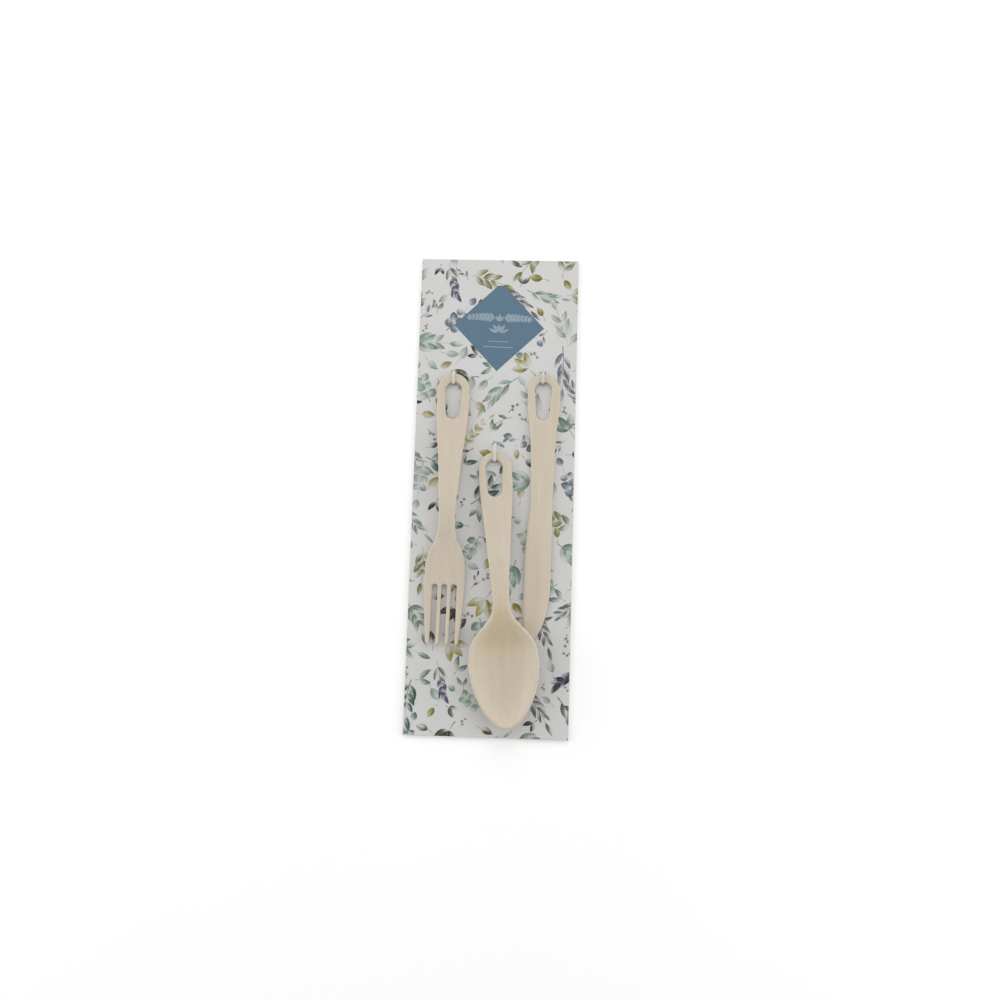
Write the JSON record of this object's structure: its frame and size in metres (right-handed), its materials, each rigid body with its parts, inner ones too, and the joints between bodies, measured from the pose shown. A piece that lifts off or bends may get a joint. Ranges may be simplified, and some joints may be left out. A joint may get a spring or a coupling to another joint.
{
  "type": "wooden cutlery pack",
  "caption": "Tall printed backing card with a pale wooden fork, spoon and knife tied on by slots in their handles.",
  "frame": {"origin": "under the middle of the card, on the surface that the pack lies on", "axes": "+Y along the card towards its label end, +Z out of the card's printed face, +X to the right as seen from the front"},
  "size_m": [0.1, 0.3, 0.0121],
  "materials": {
    "printed_card": "satin",
    "fork_wood": "matte",
    "spoon_wood": "matte",
    "knife_wood": "matte",
    "tie_strip": "satin"
  },
  "bodies": {
    "root": {"backing_card": "printed_card", "fork": "fork_wood", "spoon": "spoon_wood", "knife": "knife_wood", "fork_tie": "tie_strip", "spoon_tie": "tie_strip", "knife_tie": "tie_strip"}
  },
  "joints": []
}
